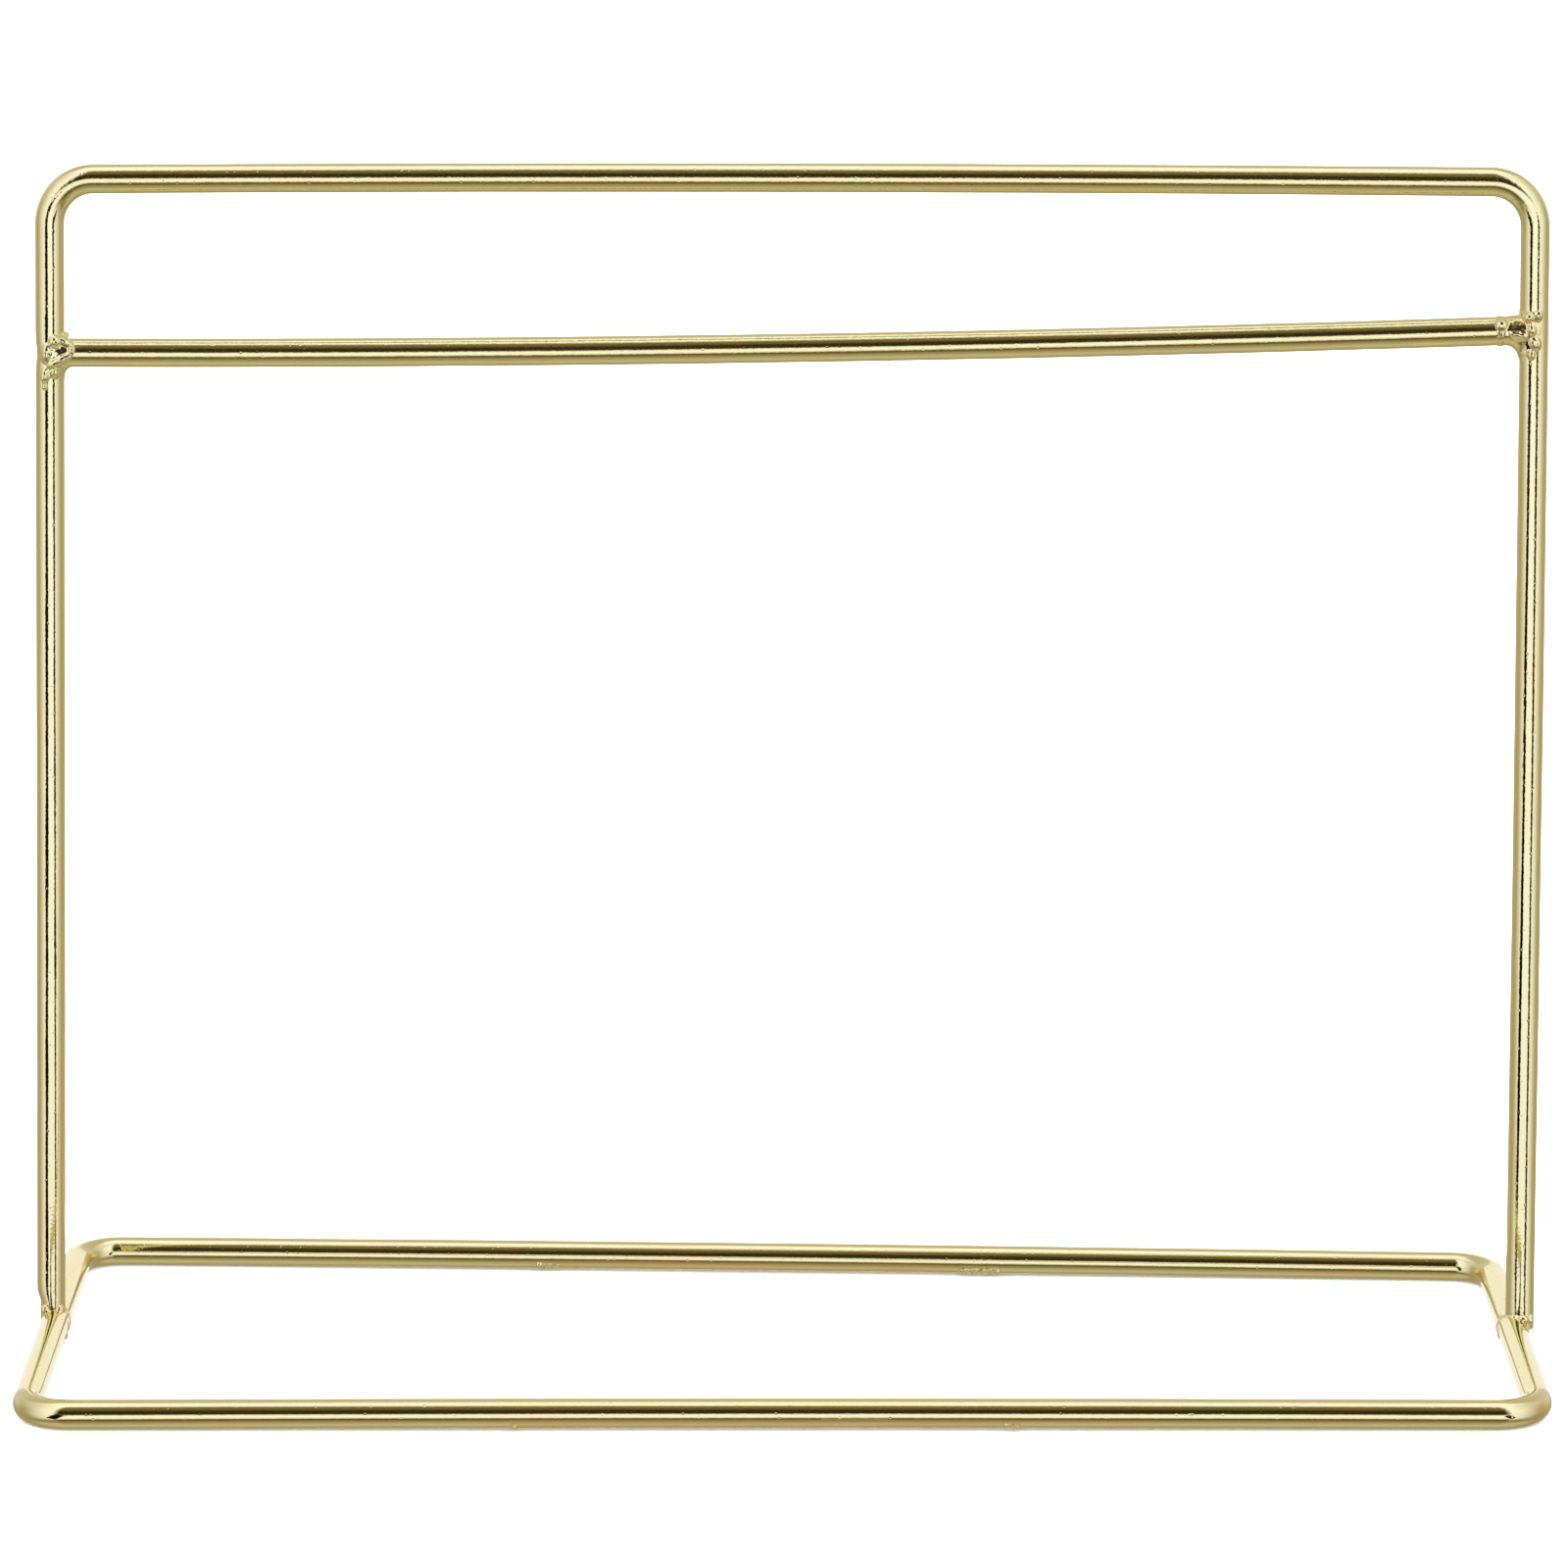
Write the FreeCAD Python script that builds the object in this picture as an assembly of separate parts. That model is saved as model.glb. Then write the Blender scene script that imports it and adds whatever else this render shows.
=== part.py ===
import FreeCAD, Part

import math
import os

from FreeCAD import Vector

# A desk stand for a ring-bound photo album, welded from three bent pieces of
# plated steel rod: a loop that lies on the table, an upright frame on the
# loop's two sides, and a rail across the frame that the album's rings close
# round.  Nothing on it moves.
#
# Frame: +Z up, +X to the right, +Y to the back.  The origin is the middle of
# the stand's footprint, on the table.  Sizes are in millimetres and are taken
# to the middle of the rod unless a name says otherwise.

# Rod
ROD_DIAMETER = 4.0
ROD_RADIUS = ROD_DIAMETER / 2

# Base loop: a hand-bent oblong whose right side came out shorter than its left
BASE_WIDTH = 205.7
BASE_DEPTH_LEFT = 80.3
BASE_DEPTH_RIGHT = 71.7
BASE_BEND_RADIUS = 6.0

# Press marks: shallow flats left under the front and back runs by the bender
FLAT_LENGTH = 68.0
FLAT_DEPTH = 0.12
FLAT_MIDDLE_X = -2.2

# Closing weld of the loop, dressed flush, in the back run
BUTT_WELD_X = 29.5
BUTT_WELD_LENGTH = 1.2

# Upright frame: legs spread a little towards the feet
FRAME_WIDTH_TOP = 202.9
FRAME_WIDTH_FOOT = 207.6
FRAME_SHIFT_TOP = 1.26
FRAME_SHIFT_FOOT = 0.26
FRAME_HEIGHT = 164.35
FRAME_BEND_RADIUS = 6.1
FOOT_SETBACK_LEFT = 44.5
FOOT_SETBACK_RIGHT = 41.2
FOOT_END_HEIGHT = 3.0

# Cross rail: set a little out of level and sagging between its welds
RAIL_HEIGHT_LEFT = 140.4
RAIL_HEIGHT_RIGHT = 144.06
RAIL_SAG = 1.0
RAIL_BEND_RADIUS = 1500.0

# Weld beads: each is what the rods leave of a ball set on the joint
FOOT_BEAD_RADIUS = 2.6
FOOT_BEAD_HEIGHT = ROD_DIAMETER
RAIL_BEAD_RADIUS = 3.3
RAIL_BEAD_OFFSET = 2.0


def straight(start, end):
    """A straight piece of rod between two points of its middle line."""
    run = end - start
    return Part.makeCylinder(ROD_RADIUS, run.Length, start, run)


def bend(corner, arriving, leaving, radius):
    """The bent piece of rod at a corner, and the two points where it begins and ends."""
    turn = arriving.getAngle(leaving)
    reach = radius * math.tan(turn / 2)
    first = corner - arriving * reach
    last = corner + leaving * reach
    axis = arriving.cross(leaving).normalize()
    centre = first + axis.cross(arriving) * radius
    section = Part.Face(Part.Wire(Part.makeCircle(ROD_RADIUS, first, arriving)))
    return section.revolve(centre, axis, math.degrees(turn)), first, last


def bent_rod(points, radius):
    """One length of rod along the points, with every inner point rounded to the radius."""
    pieces = []
    here = points[0]
    for before, corner, after in zip(points, points[1:], points[2:]):
        arriving = (corner - before).normalize()
        leaving = (after - corner).normalize()
        elbow, first, last = bend(corner, arriving, leaving, radius)
        pieces += [straight(here, first), elbow]
        here = last
    pieces.append(straight(here, points[-1]))
    return pieces[0].multiFuse(pieces[1:]).removeSplitter().Solids[0]


def on_line(a, b, x):
    """The point of the line through a and b that has this x."""
    return a + (b - a) * ((x - a.x) / (b.x - a.x))


def single(shape):
    """The one solid of a shape, which stops the build if the shape has more or fewer."""
    assert len(shape.Solids) == 1 and shape.isValid()
    return shape.Solids[0]


# Corners of the base loop's middle line, in a working frame whose X axis is
# the front run seen from above
half_width = BASE_WIDTH / 2
front_left = Vector(-half_width, 0, ROD_RADIUS)
front_right = Vector(half_width, 0, ROD_RADIUS)
back_right = Vector(half_width, BASE_DEPTH_RIGHT, ROD_RADIUS)
back_left = Vector(-half_width, BASE_DEPTH_LEFT, ROD_RADIUS)


def press_marks():
    """Slabs that cut the flats under the front and back runs."""
    slab_width = 4 * ROD_DIAMETER
    slab_drop = ROD_DIAMETER
    slabs = []
    for start, end in ((front_left, front_right), (back_left, back_right)):
        middle = on_line(start, end, FLAT_MIDDLE_X)
        corner = Vector(-FLAT_LENGTH / 2, -slab_width / 2, -slab_drop)
        slab = Part.makeBox(FLAT_LENGTH, slab_width, slab_drop + FLAT_DEPTH, corner)
        turn = math.degrees(math.atan2(end.y - start.y, end.x - start.x))
        slab.rotate(Vector(0, 0, 0), Vector(0, 0, 1), turn)
        slab.translate(Vector(middle.x, middle.y, 0))
        slabs.append(slab)
    return slabs


def base_ends():
    """The two rod ends that face each other across the closing weld."""
    gap_left = on_line(back_left, back_right, BUTT_WELD_X - BUTT_WELD_LENGTH / 2)
    gap_right = on_line(back_left, back_right, BUTT_WELD_X + BUTT_WELD_LENGTH / 2)
    return gap_left, gap_right


def base_loop():
    """The loop as bent, open by the width of its closing weld."""
    gap_left, gap_right = base_ends()
    path = [gap_right, back_right, front_right, front_left, back_left, gap_left]
    return single(bent_rod(path, BASE_BEND_RADIUS).cut(press_marks()))


def base_butt_weld():
    """The slug of weld metal that closes the loop."""
    gap_left, gap_right = base_ends()
    return single(straight(gap_left, gap_right).cut(press_marks()))


def leg_line(side):
    """A leg's middle line, from its foot to the top rail's corner; side is -1 left, +1 right."""
    setback = FOOT_SETBACK_LEFT if side < 0 else FOOT_SETBACK_RIGHT
    foot = Vector(FRAME_SHIFT_FOOT + side * FRAME_WIDTH_FOOT / 2, setback, FOOT_END_HEIGHT)
    top = Vector(FRAME_SHIFT_TOP + side * FRAME_WIDTH_TOP / 2, setback, FRAME_HEIGHT)
    return foot, top


def at_height(line, z):
    """The point of a leg's middle line at this height."""
    foot, top = line
    return foot + (top - foot) * ((z - foot.z) / (top.z - foot.z))


def upright_frame(loop):
    """The frame, its feet coped to sit on the loop's two side rods."""
    left_foot, left_top = leg_line(-1)
    right_foot, right_top = leg_line(+1)
    rod = bent_rod([left_foot, left_top, right_top, right_foot], FRAME_BEND_RADIUS)
    return single(rod.cut(loop))


def leg(side):
    """The straight rod of one leg, which the rail and its beads are coped to."""
    return straight(*leg_line(side))


def cross_rail():
    """The rail, sagging between the legs and coped to them at both ends."""
    left = at_height(leg_line(-1), RAIL_HEIGHT_LEFT)
    right = at_height(leg_line(+1), RAIL_HEIGHT_RIGHT)
    along = (right - left).normalize()
    down = along.cross(along.cross(Vector(0, 0, 1))).normalize()
    lowest = (left + right) * 0.5 + down * RAIL_SAG
    rod = bent_rod([left, lowest, right], RAIL_BEND_RADIUS)
    return single(rod.cut(leg(-1)).cut(leg(+1)))


def foot_weld(side, loop):
    """The bead round a leg's foot, where it stands on the loop."""
    foot = at_height(leg_line(side), FOOT_BEAD_HEIGHT)
    return single(Part.makeSphere(FOOT_BEAD_RADIUS, foot).cut(leg(side)).cut(loop))


def rail_weld(side, rail):
    """The bead round one end of the cross rail, where it meets the leg."""
    height = RAIL_HEIGHT_LEFT if side < 0 else RAIL_HEIGHT_RIGHT
    centre = at_height(leg_line(side), height) - Vector(side * RAIL_BEAD_OFFSET, 0, 0)
    return single(Part.makeSphere(RAIL_BEAD_RADIUS, centre).cut(leg(side)).cut(rail))


def build():
    loop = base_loop()
    frame = upright_frame(loop)
    rail = cross_rail()
    return {
        "base_loop": loop,
        "base_butt_weld": base_butt_weld(),
        "upright_frame": frame,
        "cross_rail": rail,
        "foot_weld_left": foot_weld(-1, loop),
        "foot_weld_right": foot_weld(+1, loop),
        "rail_weld_left": rail_weld(-1, rail),
        "rail_weld_right": rail_weld(+1, rail),
    }


nodes = build()
box = Part.makeCompound(list(nodes.values())).optimalBoundingBox()
to_origin = Vector(-box.Center.x, -box.Center.y, -box.ZMin)

os.makedirs("parts", exist_ok=True)
for name, solid in nodes.items():
    solid.translate(to_origin)
    solid.exportStep(f"parts/{name}.step")
    print(f"{name:16} {solid.Volume:9.1f} mm3")

print(f"overall {box.XLength:.2f} x {box.YLength:.2f} x {box.ZLength:.2f} mm")
print(f"moved by {to_origin.x:.3f}, {to_origin.y:.3f}, {to_origin.z:.3f} mm")
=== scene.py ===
# %% [markdown]
# # A gold-plated wire stand for a photo album
#
# The real stand is three lengths of 4 mm steel rod, bent, welded together and
# plated a pale gold.  There is nothing else to it, so a picture of it lives on
# two things: how the polished rods mirror the studio, and how the lumpy weld
# beads break that mirror up.  The steps below bend the rods, build up the
# welds, mix the plating and then set up a studio for it to reflect.

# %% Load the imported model
import math
import random

import bpy
from mathutils import Euler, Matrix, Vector


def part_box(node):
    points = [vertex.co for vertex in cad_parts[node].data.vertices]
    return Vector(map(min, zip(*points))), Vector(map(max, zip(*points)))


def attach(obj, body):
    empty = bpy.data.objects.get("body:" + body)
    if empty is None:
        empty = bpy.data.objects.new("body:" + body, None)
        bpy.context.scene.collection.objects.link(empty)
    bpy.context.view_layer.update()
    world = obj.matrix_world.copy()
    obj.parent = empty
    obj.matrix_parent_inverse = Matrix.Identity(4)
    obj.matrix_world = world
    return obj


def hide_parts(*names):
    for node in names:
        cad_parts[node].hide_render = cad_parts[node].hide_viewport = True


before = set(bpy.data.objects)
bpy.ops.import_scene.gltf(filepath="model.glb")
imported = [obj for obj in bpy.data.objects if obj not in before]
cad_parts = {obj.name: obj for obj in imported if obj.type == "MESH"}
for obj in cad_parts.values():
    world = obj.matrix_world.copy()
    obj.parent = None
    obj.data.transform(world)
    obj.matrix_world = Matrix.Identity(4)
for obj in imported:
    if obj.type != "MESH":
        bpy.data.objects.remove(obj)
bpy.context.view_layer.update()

MM = 0.001

# %% [markdown]
# ## Where everything is
#
# The engineering model says where each rod runs, and a picture must not
# disagree with it.  So the middle lines of the rods are worked out from the
# boxes round the model's nodes.  Only what a box can't tell, such as how far
# the legs lean, is written here as a size.

# %% Middle lines of the rods
base_low, base_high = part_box("base_loop")
frame_low, frame_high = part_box("upright_frame")
left_bead_low, left_bead_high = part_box("rail_weld_left")
right_bead_low, right_bead_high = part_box("rail_weld_right")
slug_low, slug_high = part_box("base_butt_weld")

ROD_RADIUS = base_high.z / 2
BASE_DEPTH_LEFT = 80.3 * MM
BASE_DEPTH_RIGHT = 71.7 * MM
BASE_BEND_RADIUS = 6.0 * MM
LEFT_LEG_LEAN = 3.35 * MM
RIGHT_LEG_LEAN = 1.35 * MM
FRAME_BEND_RADIUS = 6.1 * MM

front_y = base_low.y + ROD_RADIUS
front_left = Vector((base_low.x + ROD_RADIUS, front_y, ROD_RADIUS))
front_right = Vector((base_high.x - ROD_RADIUS, front_y, ROD_RADIUS))
back_left = front_left + Vector((0, BASE_DEPTH_LEFT, 0))
back_right = front_right + Vector((0, BASE_DEPTH_RIGHT, 0))

left_foot = Vector((frame_low.x + ROD_RADIUS, frame_high.y - ROD_RADIUS, ROD_RADIUS))
right_foot = Vector((frame_high.x - ROD_RADIUS, frame_low.y + ROD_RADIUS, ROD_RADIUS))
top_z = frame_high.z - ROD_RADIUS
left_top = Vector((left_foot.x + LEFT_LEG_LEAN, left_foot.y, top_z))
right_top = Vector((right_foot.x - RIGHT_LEG_LEAN, right_foot.y, top_z))


def on_leg(foot, top, z):
    """The point of a leg's middle line at this height."""
    return foot.lerp(top, (z - foot.z) / (top.z - foot.z))


rail_left = on_leg(left_foot, left_top, (left_bead_low.z + left_bead_high.z) / 2)
rail_right = on_leg(right_foot, right_top, (right_bead_low.z + right_bead_high.z) / 2)
print("rail climbs", round((rail_right.z - rail_left.z) / MM, 2), "mm to the right")

# %% [markdown]
# ## Bending rod
#
# A workshop makes a bent rod by feeding it straight out of a bender and
# turning it round a pin at each corner.  The same two moves make the mesh: a
# ring of vertices is extruded along each straight run, a little at a time so
# that there are rings to shape later, and spun round the middle of each bend.
# A curve with a bevel would be quicker, but its rings bunch up in the bends.

# %% The rod bender
RING_VERTICES = 64
RING_SPACING = 1.5 * MM
BEND_STEPS = 18


def deselect_everything():
    if bpy.context.mode != "OBJECT":
        bpy.ops.object.mode_set(mode="OBJECT")
    bpy.ops.object.select_all(action="DESELECT")


def edit_vertices(piece, keep):
    """Opens the piece for editing with only the vertices that keep(place) likes selected."""
    deselect_everything()
    bpy.context.view_layer.objects.active = piece
    piece.select_set(True)
    bpy.ops.object.mode_set(mode="EDIT")
    bpy.ops.mesh.select_mode(type="VERT")
    bpy.ops.mesh.select_all(action="DESELECT")
    bpy.ops.object.mode_set(mode="OBJECT")
    for vertex in piece.data.vertices:
        vertex.select = keep(vertex.co)
    bpy.ops.object.mode_set(mode="EDIT")


def apply_modifiers(piece):
    deselect_everything()
    bpy.context.view_layer.objects.active = piece
    piece.select_set(True)
    for modifier in list(piece.modifiers):
        bpy.ops.object.modifier_apply(modifier=modifier.name)


def start_ring(name, place, along, radius, vertices=RING_VERTICES):
    """A ring of vertices across the rod, open for editing and selected."""
    deselect_everything()
    facing = along.to_track_quat("Z", "Y").to_euler()
    bpy.ops.mesh.primitive_circle_add(
        vertices=vertices, radius=radius, location=place, rotation=facing
    )
    piece = bpy.context.object
    piece.name = name
    bpy.ops.object.transform_apply(location=True, rotation=True, scale=True)
    bpy.ops.object.mode_set(mode="EDIT")
    bpy.ops.mesh.select_all(action="SELECT")
    return piece


def feed(start, end, spacing=RING_SPACING):
    """Draws the selected ring out along a straight run."""
    steps = max(1, round((end - start).length / spacing))
    step = (end - start) / steps
    for _ in range(steps):
        bpy.ops.mesh.extrude_region_move(TRANSFORM_OT_translate={"value": tuple(step)})


def bend_rod(name, points, bend_radius):
    """One length of rod along the points, bent at every inner one and closed at its ends."""
    here = points[0]
    piece = start_ring(name, here, points[1] - here, ROD_RADIUS)
    for before, corner, after in zip(points, points[1:], points[2:]):
        arriving = (corner - before).normalized()
        leaving = (after - corner).normalized()
        turn = arriving.angle(leaving)
        reach = bend_radius * math.tan(turn / 2)
        axis = arriving.cross(leaving).normalized()
        first = corner - arriving * reach
        pin = first + axis.cross(arriving) * bend_radius
        feed(here, first)
        # With no window, spin turns the other way, so the angle is negative
        bpy.ops.mesh.spin(steps=BEND_STEPS, angle=-turn, center=pin, axis=axis)
        here = corner + leaving * reach
    feed(here, points[-1])
    bpy.ops.mesh.select_all(action="SELECT")
    bpy.ops.mesh.fill_holes(sides=0)
    bpy.ops.mesh.normals_make_consistent(inside=False)
    bpy.ops.object.mode_set(mode="OBJECT")
    print(name, len(piece.data.polygons), "faces")
    return piece


# %% [markdown]
# ## Nothing is quite straight
#
# Rod off a coil keeps a trace of its curl, and a hand-fed bender leaves each
# run bowed by a few tenths of a millimetre.  It is too little to notice as a
# shape, but a polished rod is a mirror, and it is what makes the reflections
# look real.  Proportional editing bows a run: the middle ring is lifted, and
# its neighbours follow along a parabola.  A weak Displace adds the waviness.

# %% Bowing a run, and waviness
RING_REACH = 0.8 * MM
WAVE_LENGTH = 16 * MM
WAVE_HEIGHT = 0.05 * MM


def bow(piece, keep, push, half_span):
    """Pushes the ring that keep(place) picks, and its run with it, into a shallow parabola."""
    edit_vertices(piece, keep)
    bpy.ops.transform.translate(
        value=push,
        use_proportional_edit=True,
        proportional_edit_falloff="INVERSE_SQUARE",
        proportional_size=half_span,
    )
    bpy.ops.object.mode_set(mode="OBJECT")


def add_waviness(piece, height=WAVE_HEIGHT, length=WAVE_LENGTH):
    texture = bpy.data.textures.new(piece.name + "_waves", "CLOUDS")
    texture.noise_scale = length
    displace = piece.modifiers.new("waves", "DISPLACE")
    displace.texture = texture
    displace.texture_coords = "LOCAL"
    displace.strength = height
    displace.mid_level = 0.5
    apply_modifiers(piece)


# %% [markdown]
# ## The base loop
#
# The base is one rod with four bends, and its ends meet in the back run.  Its
# right side came out nearly a centimetre shorter than its left.  The bender's
# jaws gripped both long runs in the middle and pressed a shallow flat into
# their undersides: the vertices below the flat are squashed onto its plane.

# %% The base loop
PRESS_LENGTH = 68.0 * MM
PRESS_MIDDLE_X = front_left.x + (front_right.x - front_left.x) / 2 - 2.2 * MM
PRESS_DEPTH = 0.14 * MM
BASE_BOW = 0.24 * MM
SLUG_LENGTH = 1.2 * MM

slug_middle = (slug_low + slug_high) / 2
back_run = (back_right - back_left).normalized()


def on_back_run(x):
    """The point of the back run's middle line with this x."""
    return back_left.lerp(back_right, (x - back_left.x) / (back_right.x - back_left.x))


gap_left = on_back_run(slug_middle.x - SLUG_LENGTH / 2)
gap_right = on_back_run(slug_middle.x + SLUG_LENGTH / 2)
base_rod = bend_rod(
    "base_loop_rod",
    [gap_right, back_right, front_right, front_left, back_left, gap_left],
    BASE_BEND_RADIUS,
)

edit_vertices(
    base_rod,
    lambda place: place.z < PRESS_DEPTH
    and abs(place.x - PRESS_MIDDLE_X) < PRESS_LENGTH / 2,
)
bpy.ops.transform.resize(value=(1, 1, 0), center_override=(0, 0, PRESS_DEPTH))
base_middle_x = (front_left.x + front_right.x) / 2
base_half_span = (front_right.x - front_left.x) / 2
bow(
    base_rod,
    lambda place: abs(place.x - base_middle_x) < RING_REACH,
    (0, 0, BASE_BOW),
    base_half_span,
)
add_waviness(base_rod)

# %% [markdown]
# ## The upright frame and the cross rail
#
# The frame is a second rod with two bends, turned upside down and stood on
# the base's side rods.  Its feet run on into those rods, where the weld hides
# them.  The rail is a third, straight rod that was let go a little before its
# welds had set, so it sags.

# %% The upright frame
TOP_BOW = 0.42 * MM
LEFT_LEG_BOW = 0.05 * MM
RIGHT_LEG_BOW = 0.09 * MM
frame_rod = bend_rod(
    "upright_frame_rod", [left_foot, left_top, right_top, right_foot], FRAME_BEND_RADIUS
)
top_middle_x = (left_top.x + right_top.x) / 2
bow(
    frame_rod,
    lambda place: abs(place.x - top_middle_x) < RING_REACH,
    (0, 0, TOP_BOW),
    (right_top.x - left_top.x) / 2,
)
leg_middle_z = (left_foot.z + top_z) / 2
for foot, push in ((left_foot, LEFT_LEG_BOW), (right_foot, RIGHT_LEG_BOW)):
    bow(
        frame_rod,
        lambda place: abs(place.z - leg_middle_z) < RING_REACH and place.x * foot.x > 0,
        (push, 0, 0),
        leg_middle_z - left_foot.z - FRAME_BEND_RADIUS,
    )

# %% The cross rail
RAIL_SAG = 0.93 * MM
rail_rod = bend_rod("cross_rail_rod", [rail_left, rail_right], FRAME_BEND_RADIUS)
rail_middle_x = (rail_left.x + rail_right.x) / 2
bow(
    rail_rod,
    lambda place: abs(place.x - rail_middle_x) < RING_REACH,
    (0, 0, -RAIL_SAG),
    (rail_right.x - rail_left.x) / 2,
)
add_waviness(rail_rod)

# %% [markdown]
# ## Burnt-in edges
#
# Where the welder lingered, the arc ate a little of the leg away.  A welder
# calls it undercut.  It shows as a shallow hollow in the leg's outline, so it
# belongs in the mesh: one patch of the leg is pushed in, and proportional
# editing fades the push out around it.


# %% Undercut beside the welds
FOOT_UNDERCUT = 0.5 * MM
FOOT_UNDERCUT_HEIGHT = 3.2 * MM
FOOT_UNDERCUT_FADE = 1.7 * MM
RAIL_UNDERCUT = 0.22 * MM
RAIL_UNDERCUT_HALF = 1.0 * MM
RAIL_UNDERCUT_FADE = 2.4 * MM


def undercut(piece, keep, push, reach):
    """Pushes the patch of skin that keep(place) picks inwards, fading out over the reach."""
    edit_vertices(piece, keep)
    bpy.ops.transform.translate(
        value=(push, 0, 0),
        use_proportional_edit=True,
        proportional_edit_falloff="SMOOTH",
        proportional_size=reach,
    )
    bpy.ops.object.mode_set(mode="OBJECT")


undercut(
    frame_rod,
    lambda place: place.x < left_foot.x - ROD_RADIUS / 2
    and place.z < left_foot.z + FOOT_UNDERCUT_HEIGHT,
    FOOT_UNDERCUT,
    FOOT_UNDERCUT_FADE,
)
undercut(
    frame_rod,
    lambda place: place.x < rail_left.x - 0.9 * ROD_RADIUS
    and abs(place.z - rail_left.z) < RAIL_UNDERCUT_HALF,
    RAIL_UNDERCUT,
    RAIL_UNDERCUT_FADE,
)
add_waviness(frame_rod)

# %% [markdown]
# ## Weld beads
#
# A bead is molten metal that froze in lumps round the joint.  Each one is
# built up the same way.  Cones lie over the rods like sleeves and taper until
# they sink into them, so that the bead has no edge.  Rounded lumps sit on the
# sleeves where the metal pooled.  A voxel Remesh fuses them all into one skin,
# Smooth lets the skin flow together, as surface tension does, and a weak
# Displace makes it a little uneven again.

# %% Building up a bead
VOXEL = 0.1 * MM
MELT_ROUNDS = 24
MELT_PULL = 0.5
LUMP_WAVE_HEIGHT = 0.18 * MM
LUMP_WAVE_LENGTH = 1.1 * MM
SLEEVE_SIDES = 96
SUNK = 1.8  # a sleeve's radius in millimetres where it has sunk into the rod


def lump(joint, offset, size, tilt):
    """A rounded lump: size is its half sizes in millimetres, tilt turns it about Y in degrees."""
    bpy.ops.mesh.primitive_ico_sphere_add(
        subdivisions=4,
        radius=1,
        location=joint + Vector(offset) * MM,
        scale=[half * MM for half in size],
        rotation=(0, math.radians(tilt), 0),
    )
    return bpy.context.object


def sleeve(joint, start, start_radius, end, end_radius):
    """A cone over a stretch of rod; every size is in millimetres, measured from the joint."""
    run = Vector(end) - Vector(start)
    bpy.ops.mesh.primitive_cone_add(
        vertices=SLEEVE_SIDES,
        radius1=start_radius * MM,
        radius2=end_radius * MM,
        depth=run.length * MM,
        location=joint + (Vector(start) + Vector(end)) / 2 * MM,
        rotation=run.to_track_quat("Z", "Y").to_euler(),
    )
    return bpy.context.object


def weld_bead(
    name, joint, sleeves, lumps, voxel=VOXEL, rounds=MELT_ROUNDS, unevenness=LUMP_WAVE_HEIGHT
):
    """Fuses sleeves and lumps into one bead."""
    deselect_everything()
    parts = [sleeve(joint, *cone) for cone in sleeves]
    parts += [lump(joint, *ball) for ball in lumps]
    for part in parts:
        part.select_set(True)
    bpy.context.view_layer.objects.active = parts[0]
    bpy.ops.object.join()
    piece = bpy.context.object
    piece.name = name
    bpy.ops.object.transform_apply(location=True, rotation=True, scale=True)
    fuse = piece.modifiers.new("fuse", "REMESH")
    fuse.mode = "VOXEL"
    fuse.voxel_size = voxel
    melt = piece.modifiers.new("melt", "SMOOTH")
    melt.factor = MELT_PULL
    melt.iterations = rounds
    apply_modifiers(piece)
    add_waviness(piece, height=unevenness, length=LUMP_WAVE_LENGTH)
    print(name, len(piece.data.polygons), "faces")
    return piece


# %% [markdown]
# The left end of the rail has a fat bead: a ridge runs up to the right under
# a dark valley, nodules cap it, and drips have run down the leg.  The right
# end has a long bead that reaches along the rail to a raised ring, with a
# broad fillet underneath.

# %% Beads at the ends of the rail
rail_bead_left = weld_bead(
    "rail_bead_left",
    rail_left,
    [
        # Up and down the leg, set to the right to leave the undercut bare
        ((0.3, -0.1, 0.3), 2.15, (0.05, 0.0, 3.6), SUNK),
        ((0.3, -0.1, 0.3), 2.15, (-0.05, 0.0, -5.6), SUNK),
        # Along the rail, and the fillet under it
        ((0.0, 0.0, 0.0), 2.3, (4.6, 0.0, 0.0), SUNK),
        ((1.86, 0.0, -0.58), 1.65, (0.58, 0.0, -1.86), 1.65),
    ],
    [
        # Nodules over the valley
        ((0.8, -1.65, 1.8), (0.95, 0.9, 1.0), -20),
        ((2.3, -1.3, 1.7), (1.3, 0.9, 0.6), 30),
        ((3.2, -1.6, 0.5), (0.55, 0.8, 0.8), 10),
        ((2.2, -0.5, 2.3), (0.45, 0.8, 0.9), 25),
        # Left wall of the valley, and the ridge under it
        ((-0.3, -1.7, 0.1), (0.75, 0.85, 1.5), 5),
        ((1.5, -1.75, -0.8), (2.1, 0.95, 0.7), -26),
        # Drips on the leg
        ((-0.55, -1.7, -3.0), (0.7, 0.85, 1.1), 0),
        ((0.75, -1.75, -2.5), (0.6, 0.8, 0.7), 0),
        ((-0.55, -1.75, -4.5), (0.5, 0.7, 0.6), 0),
    ],
)
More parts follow.
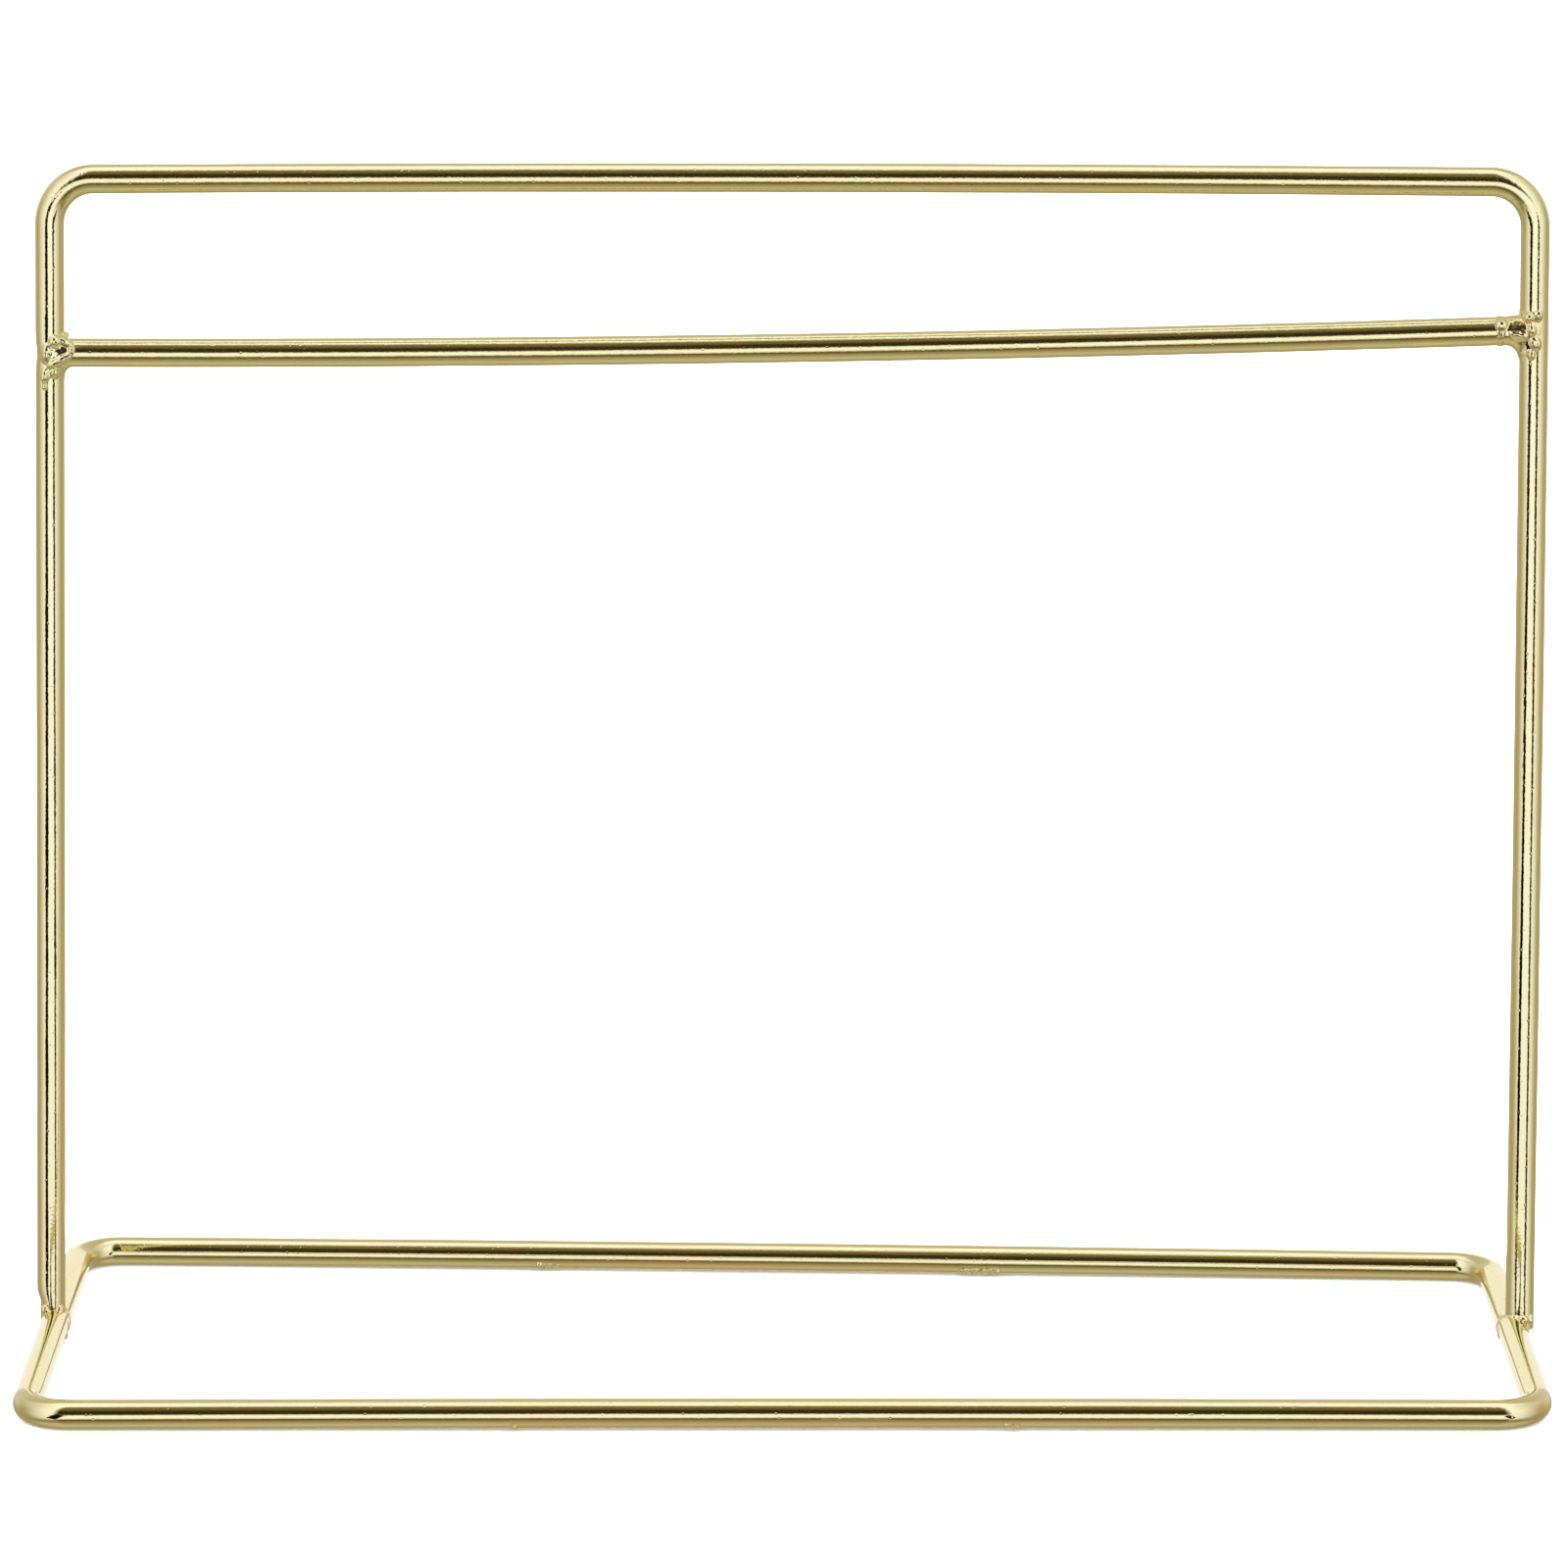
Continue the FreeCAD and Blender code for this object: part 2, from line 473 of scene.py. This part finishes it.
rail_bead_right = weld_bead(
    "rail_bead_right",
    rail_right,
    [
        # Up and down the leg
        ((-0.3, -0.1, 0.0), 2.1, (-0.1, 0.0, 4.0), SUNK),
        ((-0.3, -0.1, 0.0), 2.1, (-0.05, 0.0, -5.0), SUNK),
        # Along the rail to the raised ring
        ((0.0, 0.0, 0.0), 2.2, (-4.3, 0.0, -0.16), 2.0),
        ((-4.1, 0.0, -0.15), 1.95, (-4.7, 0.0, -0.17), 2.2),
        ((-4.7, 0.0, -0.17), 2.2, (-5.5, 0.0, -0.2), SUNK),
        # The broad fillet under it, in three chords
        ((-3.58, 0.0, -0.4), 1.6, (-1.92, 0.0, -1.09), 1.6),
        ((-2.43, 0.0, -0.64), 1.6, (-0.59, 0.0, -2.48), 1.6),
        ((-1.04, 0.0, -1.97), 1.6, (-0.35, 0.0, -3.63), 1.6),
    ],
    [
        # Bright drop on the ring
        ((-4.6, -1.5, 0.8), (0.95, 0.85, 0.95), 0),
        # Nodules round the top of the joint
        ((-0.9, -1.7, 1.95), (0.85, 0.85, 0.75), -20),
        ((0.4, -1.65, 2.2), (0.75, 0.65, 0.9), 0),
        ((-0.45, -1.8, 0.3), (0.65, 0.8, 1.1), -15),
        # Rough patch on the rail and the folded tongue on the leg
        ((-2.2, -1.7, -0.4), (1.6, 0.75, 0.6), 10),
        ((0.0, -1.75, -1.5), (0.85, 0.7, 1.3), -20),
        ((-0.45, -1.75, -3.2), (0.6, 0.75, 0.8), 0),
    ],
)

# %% [markdown]
# The feet got less metal: a thin collar of drops round the bottom of each
# leg, and drips that ran down the side rods and froze there.

# %% Beads at the feet
left_step = left_foot + Vector((0, 0, ROD_RADIUS))
right_step = right_foot + Vector((0, 0, ROD_RADIUS))

foot_bead_left = weld_bead(
    "foot_bead_left",
    left_step,
    [
        # Round the leg and down on to the side rod, then along that rod both ways
        ((0.35, 0.0, -1.2), 1.9, (0.35, 0.0, 1.2), 1.5),
        ((0.6, 0.0, -3.0), 1.8, (0.35, 0.0, -0.8), 1.85),
        ((0.66, 0.0, -2.0), 2.12, (0.66, -3.6, -2.0), SUNK),
        ((0.66, 0.0, -2.0), 2.12, (0.66, 3.6, -2.0), SUNK),
    ],
    [
        # Drops across the front of the leg
        ((-0.7, -1.6, 0.1), (0.65, 0.75, 0.8), 15),
        ((0.4, -1.85, -0.5), (0.8, 0.75, 0.6), 10),
        ((1.4, -1.35, 0.0), (0.65, 0.75, 0.9), -20),
        ((0.5, -2.1, -1.3), (1.0, 0.8, 0.5), -15),
        # Drip down the inside of the side rod
        ((2.3, -2.6, -2.2), (0.6, 1.3, 0.9), 0),
        ((2.35, -4.3, -2.9), (0.45, 1.3, 0.6), 0),
    ],
)
foot_bead_right = weld_bead(
    "foot_bead_right",
    right_step,
    [
        # The same, further over, as this leg stands outboard of its side rod
        ((-0.15, 0.0, -1.1), 2.0, (0.0, 0.0, 1.2), 1.6),
        ((-0.9, 0.0, -3.2), 1.7, (-0.15, 0.0, -0.8), 2.0),
        ((-1.2, 0.0, -2.0), 2.12, (-1.2, -3.6, -2.0), SUNK),
        ((-1.2, 0.0, -2.0), 2.12, (-1.2, 3.6, -2.0), SUNK),
    ],
    [
        # Drops across the front of the leg
        ((-0.95, -1.6, -0.1), (0.8, 0.75, 0.6), -10),
        ((0.35, -1.8, -0.35), (0.8, 0.75, 0.65), 20),
        ((1.3, -1.15, -0.6), (0.55, 0.8, 0.95), 10),
        ((-0.6, -2.2, -1.2), (1.1, 0.75, 0.5), 10),
        # Drips down both sides of the side rod
        ((-2.85, -2.4, -2.1), (0.5, 1.2, 1.0), 0),
        ((0.6, -2.4, -1.9), (0.5, 1.1, 0.9), 0),
    ],
)

# %% [markdown]
# ## The weld that closes the base
#
# The loop's two ends were butted together, welded and filed flush, which
# leaves a short band on the back run.  It is a ring drawn out along the rod as
# before, a hair thinner than the rod, with a weak Displace for the file marks.

# %% The closing weld
BAND_LENGTH = 5.4 * MM
BAND_SPACING = 0.15 * MM
BAND_RADIUS = ROD_RADIUS - 0.005 * MM
BAND_SIDES = 96
FILE_MARK_HEIGHT = 0.03 * MM
FILE_MARK_LENGTH = 0.3 * MM
band_start = on_back_run(slug_middle.x - BAND_LENGTH / 2)
band_end = on_back_run(slug_middle.x + BAND_LENGTH / 2)
closing_bead = start_ring(
    "base_closing_bead", band_start, back_run, BAND_RADIUS, vertices=BAND_SIDES
)
feed(band_start, band_end, BAND_SPACING)
bpy.ops.mesh.select_all(action="SELECT")
bpy.ops.mesh.fill_holes(sides=0)
bpy.ops.mesh.normals_make_consistent(inside=False)
bpy.ops.object.mode_set(mode="OBJECT")
add_waviness(closing_bead, height=FILE_MARK_HEIGHT, length=FILE_MARK_LENGTH)
deselect_everything()
closing_bead.select_set(True)
bpy.context.view_layer.objects.active = closing_bead
# The band rises as much as the bowed run does where it sits
bow_here = BASE_BOW * (1 - ((slug_middle.x - base_middle_x) / base_half_span) ** 2)
bpy.ops.object.mode_set(mode="EDIT")
bpy.ops.mesh.select_all(action="SELECT")
bpy.ops.transform.translate(value=(0, 0, bow_here))
bpy.ops.object.mode_set(mode="OBJECT")
print("closing weld", len(closing_bead.data.polygons), "faces")

# %% [markdown]
# The bender's jaws left grains of torn metal where each press mark ends, low
# on the front of the rod.  So did the dressing of the closing weld.  They are
# a scatter of tiny lumps, barely higher than the rod.

# %% Grains at the ends of the press marks
mark_start = PRESS_MIDDLE_X - PRESS_LENGTH / 2
mark_end = PRESS_MIDDLE_X + PRESS_LENGTH / 2
GRAIN_HEIGHT = 0.9
GRAIN_SPREAD = 0.3
GRAIN_SIZES = (0.15, 0.27)
GRAIN_VOXEL = 0.06 * MM
GRAIN_UNEVENNESS = 0.03 * MM
ROD_RADIUS_MM = ROD_RADIUS / MM

# Each patch: its run, where it starts, its length in mm, its number of grains,
# and the half size in mm of the big first grain
GRAIN_PATCHES = [
    (front_left, front_right, mark_start, 0.4, 3, 0.34),
    (front_left, front_right, mark_end - 1.6 * MM, 1.7, 6, 0.26),
    (back_left, back_right, mark_start + 0.7 * MM, 2.9, 30, 0.5),
    (back_left, back_right, mark_end - 0.5 * MM, -5.6, 60, 0.45),
]
scatter = random.Random(4)
grains = []
for run_start, run_end, x, length, count, first in GRAIN_PATCHES:
    on_run = run_start.lerp(run_end, (x - run_start.x) / (run_end.x - run_start.x)) / MM
    for grain in range(count):
        grain_z = GRAIN_HEIGHT + scatter.uniform(-GRAIN_SPREAD, GRAIN_SPREAD)
        to_skin = math.sqrt(ROD_RADIUS_MM**2 - (ROD_RADIUS_MM - grain_z) ** 2)
        along = scatter.uniform(0, length) if grain else 0.0
        size = scatter.uniform(*GRAIN_SIZES) if grain else first
        grains.append(((on_run.x + along, on_run.y - to_skin, grain_z), (size, size, size), 0))
grain_piece = weld_bead(
    "base_press_grains",
    Vector((0, 0, 0)),
    [],
    grains,
    voxel=GRAIN_VOXEL,
    rounds=1,
    unevenness=GRAIN_UNEVENNESS,
)

# %% [markdown]
# ## Pale-gold electroplate
#
# The steel is polished, plated with bright nickel and flashed with a pale
# gold, so it is all metal and nearly a mirror.  Three things spoil the mirror
# a little: orange peel left by the polishing, pinholes in the plate, and
# drawing lines along the legs.  They are heights of about a hundredth of a
# millimetre, fed to one Bump node.  Pinholes are really finer than shown; they
# are drawn 0.4 mm across, with soft edges, so that they can be seen.

# %% A helper for nodes, and one for colours


def add_node(tree, kind, settings=None, links=None):
    """Adds a node, sets its sockets or properties, and links its inputs to other nodes' outputs."""
    node = tree.nodes.new(kind)
    for name, value in (settings or {}).items():
        if isinstance(name, int) or name in node.inputs:
            node.inputs[name].default_value = value
        else:
            setattr(node, name, value)
    for name, source in (links or {}).items():
        tree.links.new(source, node.inputs[name])
    return node


def linear(hex_colour):
    """An sRGB hex colour as linear red, green, blue and alpha."""
    channels = [int(hex_colour[i : i + 2], 16) / 255 for i in (1, 3, 5)]
    return tuple(
        c / 12.92 if c <= 0.04045 else ((c + 0.055) / 1.055) ** 2.4 for c in channels
    ) + (1.0,)


# %% The plating
PEEL_SIZE = 0.42 * MM
PEEL_HEIGHT = 0.013 * MM
SMOOTH_PEEL_HEIGHT = 0.007 * MM
PINHOLE_SPACING = 1.0 * MM
PINHOLE_RADIUS = 0.2  # as a share of the spacing
PINHOLE_DEPTH = 0.016 * MM
LINE_WIDTH = 0.5 * MM
LINE_HEIGHT = 0.012 * MM
LINE_STRETCH = 0.012
TONE_SIZE = 14 * MM
TONE_RANGE = (0.35, 0.65)
HAZE_SPREAD = 1.8
LEG_EDGE = 97 * MM
POLISHED = 0.05


def leg_lines(tree, place):
    """Fine lines drawn along the legs, and nothing on the rest."""
    squeezed = add_node(
        tree, "ShaderNodeVectorMath", {"operation": "MULTIPLY", 1: (1, 1, LINE_STRETCH)}, {0: place}
    )
    lines = add_node(
        tree,
        "ShaderNodeTexNoise",
        {"Scale": 1 / LINE_WIDTH, "Detail": 1.0},
        {"Vector": squeezed.outputs[0]},
    )
    parts = add_node(tree, "ShaderNodeSeparateXYZ", links={0: place})
    aside = add_node(
        tree, "ShaderNodeMath", {"operation": "ABSOLUTE"}, {0: parts.outputs["X"]}
    )
    on_leg = add_node(
        tree, "ShaderNodeMath", {"operation": "GREATER_THAN", 1: LEG_EDGE}, {0: aside.outputs[0]}
    )
    return add_node(
        tree,
        "ShaderNodeMath",
        {"operation": "MULTIPLY"},
        {0: lines.outputs[0], 1: on_leg.outputs[0]},
    )


def plating(name, green_gold, warm_gold, roughness, peel_height, line_height=0.0):
    """Plated metal that drifts between two golds and carries the three patterns."""
    material = bpy.data.materials.new(name)
    material.use_nodes = True
    tree = material.node_tree
    tree.nodes.clear()
    place = add_node(tree, "ShaderNodeTexCoord").outputs["Object"]

    peel = add_node(
        tree, "ShaderNodeTexNoise", {"Scale": 1 / PEEL_SIZE, "Detail": 2.0}, {"Vector": place}
    )
    cells = add_node(
        tree, "ShaderNodeTexVoronoi", {"Scale": 1 / PINHOLE_SPACING}, {"Vector": place}
    )
    pinhole = add_node(
        tree,
        "ShaderNodeMapRange",
        {"interpolation_type": "SMOOTHSTEP", "From Min": 0.0, "From Max": PINHOLE_RADIUS},
        {"Value": cells.outputs["Distance"]},
    )
    relief = add_node(
        tree, "ShaderNodeMath", {"operation": "MULTIPLY", 1: peel_height}, {0: peel.outputs[0]}
    )
    for pattern, height in ((pinhole, PINHOLE_DEPTH), (leg_lines(tree, place), line_height)):
        relief = add_node(
            tree,
            "ShaderNodeMath",
            {"operation": "MULTIPLY_ADD", 1: height},
            {0: pattern.outputs[0], 2: relief.outputs[0]},
        )
    bump = add_node(
        tree, "ShaderNodeBump", {"Distance": 1.0}, {"Height": relief.outputs[0]}
    )
    tone = add_node(
        tree, "ShaderNodeTexNoise", {"Scale": 1 / TONE_SIZE, "Detail": 2.0}, {"Vector": place}
    )
    tone_range = add_node(
        tree,
        "ShaderNodeMapRange",
        {"From Min": TONE_RANGE[0], "From Max": TONE_RANGE[1]},
        {"Value": tone.outputs[0]},
    )
    gold = add_node(
        tree,
        "ShaderNodeMix",
        {"data_type": "RGBA", 6: linear(green_gold), 7: linear(warm_gold)},
        {0: tone_range.outputs[0]},
    )
    haze = add_node(
        tree,
        "ShaderNodeMapRange",
        {"To Min": roughness, "To Max": roughness * HAZE_SPREAD},
        {"Value": tone.outputs[0]},
    )
    metal = add_node(
        tree,
        "ShaderNodeBsdfPrincipled",
        {"Metallic": 1.0},
        {
            "Base Color": gold.outputs[2],
            "Roughness": haze.outputs[0],
            "Normal": bump.outputs[0],
        },
    )
    add_node(tree, "ShaderNodeOutputMaterial", links={"Surface": metal.outputs[0]})
    return material


loop_plating = plating(
    "pale_gold_on_ground_rod", "#EBE7A7", "#F2E3A4", POLISHED, SMOOTH_PEEL_HEIGHT
)
rod_plating = plating("pale_gold_electroplate", "#ECE9A9", "#F1E5A6", POLISHED, PEEL_HEIGHT)
frame_plating = plating(
    "pale_gold_on_drawn_rod", "#EDE8A8", "#F2E4A6", POLISHED, PEEL_HEIGHT, LINE_HEIGHT
)
rubbed_plating = plating(
    "pale_gold_rubbed_by_the_jaws", "#F1E5A2", "#F5E09C", 0.2, SMOOTH_PEEL_HEIGHT
)
weld_plating = plating(
    "pale_gold_electroplate_on_weld", "#EFE9A9", "#F3E4A3", 0.06, PEEL_HEIGHT
)

# %% [markdown]
# ## Hanging the pieces on the model
#
# Each mesh takes its plating, is shaded smooth except at its cut ends, and
# stands for the plain engineering node that it replaces.

# %% Finish every piece
SMOOTH_ANGLE = math.radians(50)
pieces = [
    (base_rod, "base_loop", loop_plating, "plated_rod"),
    (frame_rod, "upright_frame", frame_plating, "plated_rod"),
    (rail_rod, "cross_rail", rod_plating, "plated_rod"),
    (grain_piece, "base_loop", weld_plating, "plated_rod"),
    (closing_bead, "base_butt_weld", weld_plating, "plated_weld"),
    (foot_bead_left, "foot_weld_left", weld_plating, "plated_weld"),
    (foot_bead_right, "foot_weld_right", weld_plating, "plated_weld"),
    (rail_bead_left, "rail_weld_left", weld_plating, "plated_weld"),
    (rail_bead_right, "rail_weld_right", weld_plating, "plated_weld"),
]
for piece, node, material, slot in pieces:
    deselect_everything()
    piece.select_set(True)
    bpy.context.view_layer.objects.active = piece
    bpy.ops.object.shade_smooth_by_angle(angle=SMOOTH_ANGLE)
    piece.data.materials.clear()
    piece.data.materials.append(material)
    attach(piece, "root")
    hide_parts(node)
    print(piece.name, "stands for", node)

# %% [markdown]
# The jaws also rubbed the plating duller and warmer where they held the rod,
# from just under the middle of the rod down.  Those faces, picked by how far
# they face downwards, get their own material.

# %% Rubbed plating on the press marks
RUBBED_SLOPE = -0.15
base_rod.data.materials.append(rubbed_plating)
edit_vertices(base_rod, lambda place: False)
bpy.ops.mesh.select_mode(type="FACE")
bpy.ops.object.mode_set(mode="OBJECT")
for face in base_rod.data.polygons:
    face.select = face.normal.z < RUBBED_SLOPE and mark_start < face.center.x < mark_end
bpy.ops.object.mode_set(mode="EDIT")
base_rod.active_material_index = 1
bpy.ops.object.material_slot_assign()
bpy.ops.object.mode_set(mode="OBJECT")
print(sum(face.material_index for face in base_rod.data.polygons), "rubbed faces")

# %% [markdown]
# ## A studio to reflect
#
# Polished metal has no colour of its own making: it shows what is round it.
# The studio is a tent that is bright overhead and along the horizon and dark
# where the camera stands, which draws the crisp dark band along every rod.
# The sky is worked out from the direction alone.  Four rings of brightness
# against height stand at the front, the quarters, the sides and the back, and
# each blends into the next as the compass turns.  A patch straight behind the
# stand is a bright backdrop, a shade pinker than white, which turns cream in
# the gold and lights the rods' edges.

# %% The tent's brightness by height
TENT_LIGHT = 1.35
FRONT_TENT = [
    (-90, 0.62), (-72, 0.53), (-62, 0.45), (-53, 0.37), (-44, 0.28), (-37, 0.17),
    (-31, 0.13), (-27, 0.24), (-22, 0.72), (-17, 1.05), (-8, 1.15), (0, 1.12),
    (5, 0.95), (8, 0.60), (11, 0.14), (15, 0.035), (30, 0.025), (38, 0.05),
    (46, 0.14), (58, 0.20), (66, 0.24), (70, 0.55), (75, 0.90), (82, 1.15), (90, 1.20),
]
QUARTER_TENT = [
    (-90, 0.62), (-58, 0.58), (-48, 0.32), (-38, 0.28), (-28, 0.70), (-18, 1.02),
    (0, 1.07), (35, 1.15), (66, 1.10), (90, 1.20),
]
SIDE_TENT = [
    (-90, 0.62), (-55, 0.55), (-40, 0.38), (-25, 0.42), (-12, 0.46), (10, 0.52),
    (33, 0.72), (50, 0.80), (70, 1.15), (90, 1.20),
]
BACK_TENT = [
    (-90, 0.60), (-72, 0.50), (-55, 0.40), (-40, 0.42), (-25, 0.45), (-12, 0.50),
    (4, 0.72), (26, 0.66), (45, 0.58), (60, 0.60), (66, 0.80), (72, 1.15), (90, 1.20),
]


def tent_colour(light):
    """Brown cloth in the dark, bluish flash in the light: green and blue grow faster than red."""
    level = min(light, 1.0)
    green = light * (0.60 + 0.42 * level**0.6)
    blue = light * (0.20 + 1.15 * level**1.1)
    return (light / TENT_LIGHT, green / TENT_LIGHT, blue / TENT_LIGHT, 1.0)


def tent_ring(tree, height, profile):
    """A colour ramp that gives the tent's light at each height above the horizon."""
    ramp = add_node(tree, "ShaderNodeValToRGB", links={"Fac": height})
    stops = ramp.color_ramp.elements
    while len(stops) < len(profile):
        stops.new(0.5)
    for stop, (degrees, light) in zip(stops, profile):
        stop.position = (degrees + 90) / 180
        stop.color = tent_colour(light)
    return ramp.outputs[0]


# %% Hang the tent
BACKDROP_COLOUR = (1.04, 1.00, 1.10)
BACKDROP_EDGE = (0.93, 0.95)
world = bpy.data.worlds.new("studio_tent")
bpy.context.scene.world = world
world.use_nodes = True
sky = world.node_tree
sky.nodes.clear()

direction = add_node(sky, "ShaderNodeTexCoord").outputs["Generated"]
parts = add_node(sky, "ShaderNodeSeparateXYZ", links={0: direction})
climb = add_node(sky, "ShaderNodeMath", {"operation": "ARCSINE"}, {0: parts.outputs["Z"]})
height = add_node(
    sky,
    "ShaderNodeMapRange",
    {"From Min": -math.pi / 2, "From Max": math.pi / 2},
    {"Value": climb.outputs[0]},
).outputs[0]
level = add_node(
    sky, "ShaderNodeVectorMath", {"operation": "MULTIPLY", 1: (1, 1, 0)}, {0: direction}
)
compass = add_node(
    sky, "ShaderNodeVectorMath", {"operation": "NORMALIZE"}, {0: level.outputs[0]}
)
facing = add_node(
    sky,
    "ShaderNodeVectorMath",
    {"operation": "DOT_PRODUCT", 1: (0, -1, 0)},
    {0: compass.outputs[0]},
).outputs["Value"]


def blend_in(tree, measure, start, full, under, over):
    """Goes from one colour to another as the measure goes from start to full."""
    amount = add_node(
        tree,
        "ShaderNodeMapRange",
        {"interpolation_type": "SMOOTHSTEP", "From Min": start, "From Max": full},
        {"Value": measure},
    )
    return add_node(
        tree, "ShaderNodeMix", {"data_type": "RGBA"}, {0: amount.outputs[0], 6: under, 7: over}
    ).outputs[2]


# Each ring starts to show, and is full, at these cosines of the angle from the front
tent = tent_ring(sky, height, SIDE_TENT)
for profile, start, full in (
    (QUARTER_TENT, -0.2, 0.9), (FRONT_TENT, 0.81, 0.94), (BACK_TENT, -0.3, -0.7)
):
    tent = blend_in(sky, facing, start, full, tent, tent_ring(sky, height, profile))
backdrop = add_node(sky, "ShaderNodeRGB")
backdrop.outputs[0].default_value = [c / TENT_LIGHT for c in BACKDROP_COLOUR] + [1.0]
tent = blend_in(sky, parts.outputs["Y"], *BACKDROP_EDGE, tent, backdrop.outputs[0])

# %% [markdown]
# The metal sees the tent, while the floor and the empty background see plain
# white: a studio gets that by lighting the backdrop on its own.

# %% White for the backdrop, the tent for the metal
FLOOR_LIGHT = 2.6
rays = add_node(sky, "ShaderNodeLightPath")
tent_glow = add_node(
    sky, "ShaderNodeBackground", {"Strength": TENT_LIGHT}, {"Color": tent}
)
plain_glow = add_node(
    sky, "ShaderNodeBackground", {"Color": (1, 1, 1, 1), "Strength": FLOOR_LIGHT}
)
white_glow = add_node(
    sky, "ShaderNodeBackground", {"Color": (1, 1, 1, 1), "Strength": 1.0}
)
floor_or_metal = add_node(
    sky,
    "ShaderNodeMixShader",
    links={0: rays.outputs["Is Glossy Ray"], 1: plain_glow.outputs[0], 2: tent_glow.outputs[0]},
)
seen = add_node(
    sky,
    "ShaderNodeMixShader",
    links={0: rays.outputs["Is Camera Ray"], 1: floor_or_metal.outputs[0], 2: white_glow.outputs[0]},
)
add_node(sky, "ShaderNodeOutputWorld", links={"Surface": seen.outputs[0]})

# %% [markdown]
# ## Floor, flags and a soft lamp
#
# Dark flags stand in front of the tent, as stands and tripods do in any
# studio, and draw the dark lines down the legs.  Only the metal sees them.
# The lamp overhead gives the faint shadow on the pale floor.

# %% Floor and flags
FLOOR_SIZE = 8.0
FLAG_LEAN = -30


def plain_finish(name, hex_colour, roughness=1.0):
    material = bpy.data.materials.new(name)
    material.use_nodes = True
    surface = material.node_tree.nodes["Principled BSDF"]
    surface.inputs["Base Color"].default_value = linear(hex_colour)
    surface.inputs["Roughness"].default_value = roughness
    surface.inputs["Specular IOR Level"].default_value = 0.0
    return material


deselect_everything()
bpy.ops.mesh.primitive_plane_add(size=FLOOR_SIZE, location=(0, 0, 0))
floor = bpy.context.object
floor.name = "floor"
floor.data.materials.append(plain_finish("white_paper_sweep", "#FDFDFD"))
floor.visible_glossy = False


def flag(name, place, width, tall, hex_colour, lean=0.0):
    """A narrow card that only the metal sees, turned to face the stand and leaning sideways."""
    deselect_everything()
    bpy.ops.mesh.primitive_plane_add(size=1.0)
    card = bpy.context.object
    card.name = name
    card.scale = (width, tall, 1)
    bpy.ops.object.transform_apply(location=False, rotation=False, scale=True)
    card.location = place
    upright = Vector((place[0], place[1], 0)).to_track_quat("Z", "Y")
    card.rotation_mode = "QUATERNION"
    card.rotation_quaternion = upright @ Euler((0, 0, math.radians(lean))).to_quaternion()
    card.data.materials.append(plain_finish(name + "_cloth", hex_colour))
    card.visible_camera = False
    card.visible_diffuse = False
    card.visible_shadow = False
    card.visible_transmission = False


flag("flag_left", (-0.47, -0.76, -0.09), 0.30, 0.55, "#080402", FLAG_LEAN)
flag("flag_right", (0.66, -1.05, -0.17), 0.27, 0.60, "#1F180D", -FLAG_LEAN)

# %% Soft lamp
LAMP_PLACE = (0.1, 0.15, 0.9)
LAMP_TURN = (-0.12, 0.1, 0)
LAMP_WIDTH = 0.8
LAMP_DEPTH = 0.6
LAMP_WATTS = 0.8
deselect_everything()
bpy.ops.object.light_add(type="AREA", location=LAMP_PLACE)
lamp = bpy.context.object
lamp.name = "overhead_softbox"
lamp.data.shape = "RECTANGLE"
lamp.data.size = LAMP_WIDTH
lamp.data.size_y = LAMP_DEPTH
lamp.data.energy = LAMP_WATTS
lamp.visible_glossy = False
lamp.rotation_euler = LAMP_TURN

# %% [markdown]
# ## Camera
#
# A long lens from nearly a metre away, looking slightly down and square to
# the front of the base, shows the stand almost without perspective.

# %% Camera
CAMERA_PLACE = Vector((-0.03, -950.7, 287.28)) * MM
CAMERA_DIP = math.radians(12.26)
CAMERA_LENS = 161.1
CAMERA_SENSOR = 36.0
NEAREST = 0.01
deselect_everything()
bpy.ops.object.camera_add(location=CAMERA_PLACE, rotation=(math.pi / 2 - CAMERA_DIP, 0, 0))
camera = bpy.context.object
camera.data.lens = CAMERA_LENS
camera.data.sensor_width = CAMERA_SENSOR
camera.data.clip_start = NEAREST
bpy.context.scene.camera = camera
bpy.context.scene.view_settings.view_transform = "Standard"
